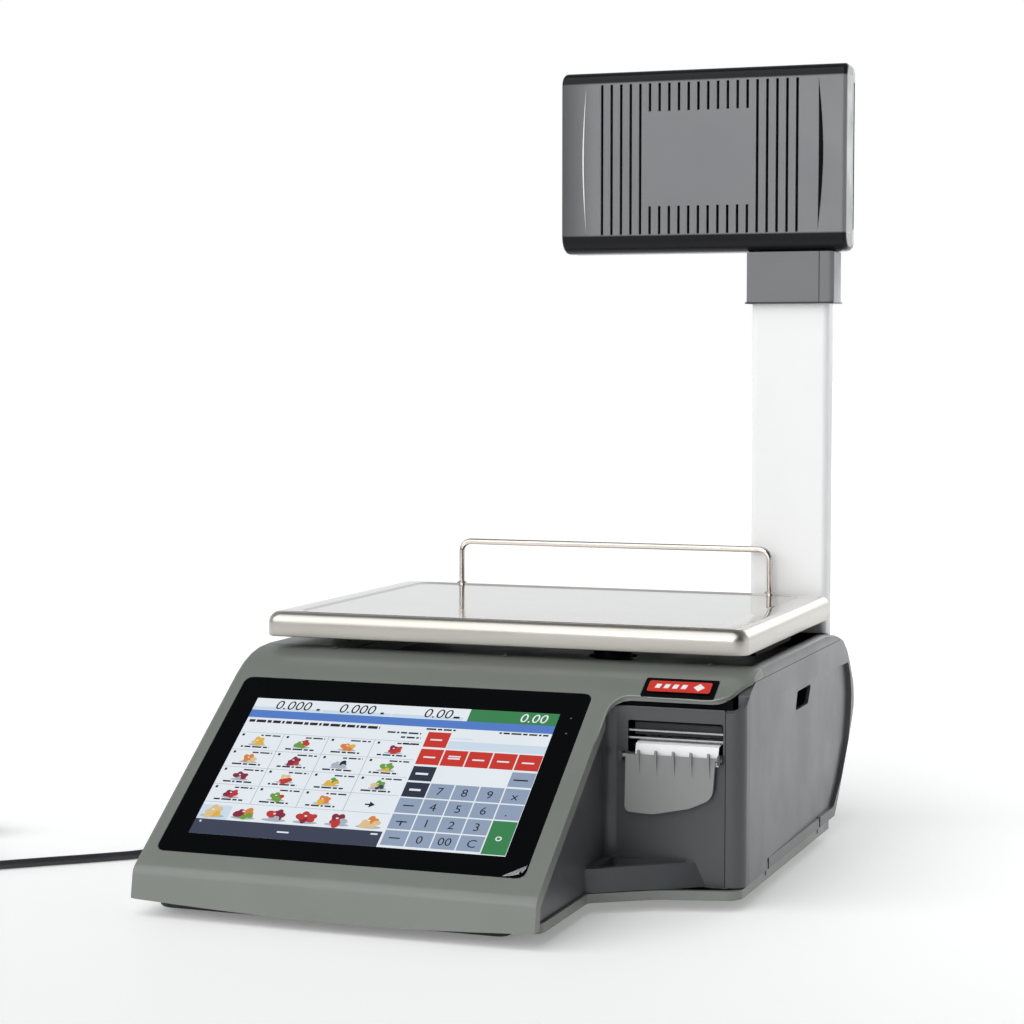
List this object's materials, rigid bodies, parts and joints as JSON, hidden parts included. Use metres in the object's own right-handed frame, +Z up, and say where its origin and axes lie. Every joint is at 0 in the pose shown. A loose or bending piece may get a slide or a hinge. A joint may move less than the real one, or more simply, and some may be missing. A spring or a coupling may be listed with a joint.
{
  "type": "retail price scale",
  "caption": "Counter price-computing scale: sloping touch console, steel platter with wire guard, label printer bay with side door, customer display on a pole, mains lead.",
  "frame": {"origin": "on the counter under the middle of the housing's box, measured without the mains lead and its gland", "axes": "+Z up; +Y from the vendor's console to the customer's side; +X to the vendor's right, towards the printer"},
  "size_m": [0.672, 0.508, 0.609],
  "materials": {
    "shell_grey": "fine textured ABS, warm grey-green",
    "shell_light": "fine textured ABS, mid grey",
    "anthracite": "textured ABS, anthracite",
    "black_plastic": "textured black plastic",
    "screen_glass": "black backed gloss glass",
    "screen": "lit display behind glass",
    "stainless": "fine ground stainless steel",
    "zinc_steel": "zinc plated sheet steel",
    "aluminium": "machined aluminium",
    "white_paint": "white powder coat",
    "head_grey": "dark grey textured ABS",
    "silver_plastic": "silver painted plastic",
    "rubber": "black rubber",
    "paper": "white thermal label paper",
    "circuit_board": "green solder mask",
    "flap_grey": "light grey plastic",
    "badge": "glossy red plate with a plain mark",
    "cord_black": "black PVC"
  },
  "bodies": {
    "root": {"base_tray": "shell_grey", "console_underpan": "black_plastic", "chassis_plate": "zinc_steel", "main_board": "circuit_board", "power_supply": "zinc_steel", "top_shell": "shell_light", "well_trough": "black_plastic", "spirit_level": "screen_glass", "front_cover": "shell_grey", "badge_plate": "badge", "touch_glass": "screen_glass", "lcd_panel": "screen", "display_carrier": "zinc_steel", "bay_housing": "anthracite", "printer_frame": "zinc_steel", "stepper_motor": "black_plastic", "tear_bar": "zinc_steel", "peel_bar": "zinc_steel", "roll_spindle": "black_plastic", "label_web": "paper", "door_hinge_pin_front": "zinc_steel", "door_hinge_pin_rear": "zinc_steel", "load_cell": "aluminium", "load_cell_bracket": "zinc_steel", "pole": "white_paint", "pole_bracket": "zinc_steel", "pole_collar": "head_grey", "head_vendor_shell": "head_grey", "head_customer_bezel": "silver_plastic", "customer_lens": "screen_glass", "customer_display": "screen", "head_board": "circuit_board", "socket_panel": "black_plastic", "network_socket": "zinc_steel", "cord_gland": "rubber", "power_cord": "cord_black", "cord_tail": "cord_black", "cord_coil": "cord_black", "cord_tie": "black_plastic", "mains_plug": "cord_black"},
    "side_door": {"side_door": "shell_light", "door_front_trim": "anthracite"},
    "label_flap": {"label_flap": "flap_grey"},
    "platen": {"platen_roller": "rubber", "platen_gear": "black_plastic"},
    "motor_pinion": {"motor_pinion": "zinc_steel"},
    "print_head": {"print_head": "black_plastic"},
    "label_roll": {"label_roll": "paper"},
    "power_switch": {"power_switch": "black_plastic"},
    "foot_front_left": {"foot_front_left": "rubber"},
    "foot_front_right": {"foot_front_right": "rubber"},
    "foot_rear_left": {"foot_rear_left": "rubber"},
    "foot_rear_right": {"foot_rear_right": "rubber"},
    "load_carrier": {"load_carrier": "black_plastic", "platter_pad_front_left": "rubber", "platter_pad_front_right": "rubber", "platter_pad_rear_left": "rubber", "platter_pad_rear_right": "rubber"},
    "platter": {"platter": "stainless", "guard_rail": "stainless"}
  },
  "joints": [
    {"name": "side_door_hinge", "type": "hinge", "parent": "root", "child": "side_door", "pos_m": [0.1912, 0.05, 0.0195], "axis": [0, 1, 0], "range_deg": [0, 85]},
    {"name": "label_flap_hinge", "type": "hinge", "parent": "root", "child": "label_flap", "pos_m": [0.1425, -0.1003, 0.104], "axis": [-1, 0, 0], "range_deg": [0, 34]},
    {"name": "platen_spin", "type": "hinge", "parent": "root", "child": "platen", "pos_m": [0.1465, -0.078, 0.107], "axis": [1, 0, 0], "continuous": true},
    {"name": "pinion_spin", "type": "hinge", "parent": "root", "child": "motor_pinion", "pos_m": [0.1007, -0.06951, 0.09851], "axis": [1, 0, 0], "continuous": true},
    {"name": "print_head_pivot", "type": "hinge", "parent": "root", "child": "print_head", "pos_m": [0.1465, -0.06, 0.127], "axis": [-1, 0, 0], "range_deg": [0, 20]},
    {"name": "label_roll_spin", "type": "hinge", "parent": "root", "child": "label_roll", "pos_m": [0.1465, 0.045, 0.08], "axis": [1, 0, 0], "continuous": true},
    {"name": "power_switch_rock", "type": "hinge", "parent": "root", "child": "power_switch", "pos_m": [-0.1897, 0.085, 0.043], "axis": [0, 0, 1], "range_deg": [0, 10]},
    {"name": "foot_front_left_screw", "type": "slide", "parent": "root", "child": "foot_front_left", "axis": [0, 0, -1], "range_m": [0, 0.006]},
    {"name": "foot_front_right_screw", "type": "slide", "parent": "root", "child": "foot_front_right", "axis": [0, 0, -1], "range_m": [0, 0.006]},
    {"name": "foot_rear_left_screw", "type": "slide", "parent": "root", "child": "foot_rear_left", "axis": [0, 0, -1], "range_m": [0, 0.006]},
    {"name": "foot_rear_right_screw", "type": "slide", "parent": "root", "child": "foot_rear_right", "axis": [0, 0, -1], "range_m": [0, 0.006]},
    {"name": "load_cell_travel", "type": "slide", "parent": "root", "child": "load_carrier", "axis": [0, 0, 1], "range_m": [-0.00025, 0], "stiffness_N_per_m": 588000, "springref_m": 0.00002},
    {"name": "platter_lift", "type": "slide", "parent": "load_carrier", "child": "platter", "axis": [0, 0, 1], "range_m": [0, 0.06]}
  ],
  "couplings": [
    {"joint": "pinion_spin", "follows": "platen_spin", "ratio": -2}
  ]
}
